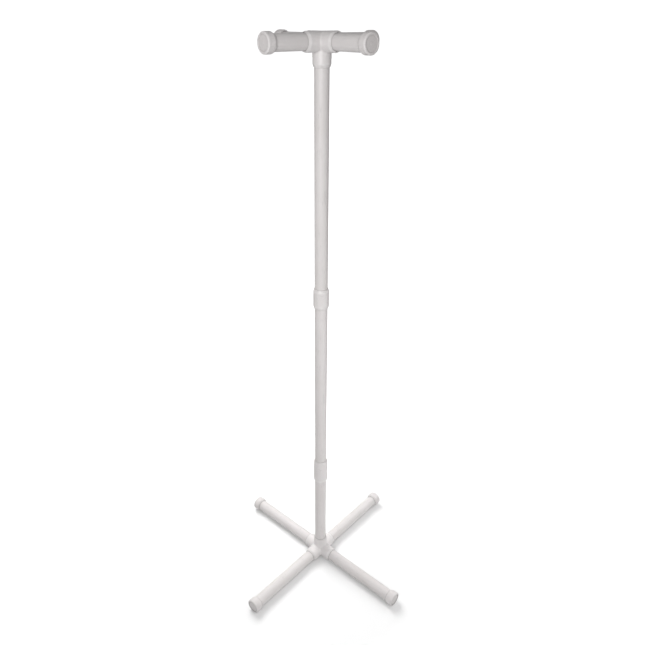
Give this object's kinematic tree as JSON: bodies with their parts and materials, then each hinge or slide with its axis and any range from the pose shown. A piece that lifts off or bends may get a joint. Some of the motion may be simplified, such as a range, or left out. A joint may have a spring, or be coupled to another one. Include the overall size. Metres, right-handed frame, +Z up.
{
  "type": "pipe stand",
  "caption": "Free-standing stand of white push-fit pipe: a cross of capped legs on the floor, a coupled upright post, and a cross of short capped arms on top.",
  "frame": {"origin": "on the floor, on the axis of the post, in the middle of the four legs", "axes": "+Z up along the post, +X along the right leg, +Y along the back leg; the arms on top stand turned 8.4 degrees clockwise from the legs, seen from above"},
  "size_m": [0.588, 0.588, 1.5154],
  "materials": {
    "pipe": "satin extruded white plastic",
    "fitting": "moulded white plastic, semi-gloss",
    "cap": "moulded white plastic, semi-gloss"
  },
  "bodies": {
    "base": {"base_cross": "fitting"},
    "leg_right": {"leg_right_pipe": "pipe", "leg_right_cap": "cap"},
    "leg_back": {"leg_back_pipe": "pipe", "leg_back_cap": "cap"},
    "leg_left": {"leg_left_pipe": "pipe", "leg_left_cap": "cap"},
    "leg_front": {"leg_front_pipe": "pipe", "leg_front_cap": "cap"},
    "lower_post": {"lower_post_pipe": "pipe", "lower_coupling": "fitting"},
    "middle_post": {"middle_post_pipe": "pipe", "upper_coupling": "fitting"},
    "upper_post": {"upper_post_pipe": "pipe"},
    "top": {"top_cross": "fitting"},
    "arm_right": {"arm_right_pipe": "pipe", "arm_right_cap": "cap"},
    "arm_back": {"arm_back_pipe": "pipe", "arm_back_cap": "cap"},
    "arm_left": {"arm_left_pipe": "pipe", "arm_left_cap": "cap"},
    "arm_front": {"arm_front_pipe": "pipe", "arm_front_cap": "cap"}
  },
  "joints": [
    {"name": "leg_right_pull", "type": "slide", "parent": "base", "child": "leg_right", "axis": [1, 0, 0], "range_m": [0, 0.035]},
    {"name": "leg_back_pull", "type": "slide", "parent": "base", "child": "leg_back", "axis": [0, 1, 0], "range_m": [0, 0.035]},
    {"name": "leg_left_pull", "type": "slide", "parent": "base", "child": "leg_left", "axis": [-1, 0, 0], "range_m": [0, 0.035]},
    {"name": "leg_front_pull", "type": "slide", "parent": "base", "child": "leg_front", "axis": [0, -1, 0], "range_m": [0, 0.035]},
    {"name": "lower_post_pull", "type": "slide", "parent": "base", "child": "lower_post", "axis": [0, 0, 1], "range_m": [0, 0.035]},
    {"name": "middle_post_pull", "type": "slide", "parent": "lower_post", "child": "middle_post", "axis": [0, 0, 1], "range_m": [0, 0.045]},
    {"name": "upper_post_pull", "type": "slide", "parent": "middle_post", "child": "upper_post", "axis": [0, 0, 1], "range_m": [0, 0.035]},
    {"name": "top_swivel", "type": "hinge", "parent": "upper_post", "child": "top", "pos_m": [0, 0, 1.46], "axis": [0, 0, 1], "continuous": true},
    {"name": "arm_right_pull", "type": "slide", "parent": "top", "child": "arm_right", "axis": [0.9893, -0.1461, 0], "range_m": [0, 0.035]},
    {"name": "arm_back_pull", "type": "slide", "parent": "top", "child": "arm_back", "axis": [0.1461, 0.9893, 0], "range_m": [0, 0.035]},
    {"name": "arm_left_pull", "type": "slide", "parent": "top", "child": "arm_left", "axis": [-0.9893, 0.1461, 0], "range_m": [0, 0.035]},
    {"name": "arm_front_pull", "type": "slide", "parent": "top", "child": "arm_front", "axis": [-0.1461, -0.9893, 0], "range_m": [0, 0.035]}
  ]
}
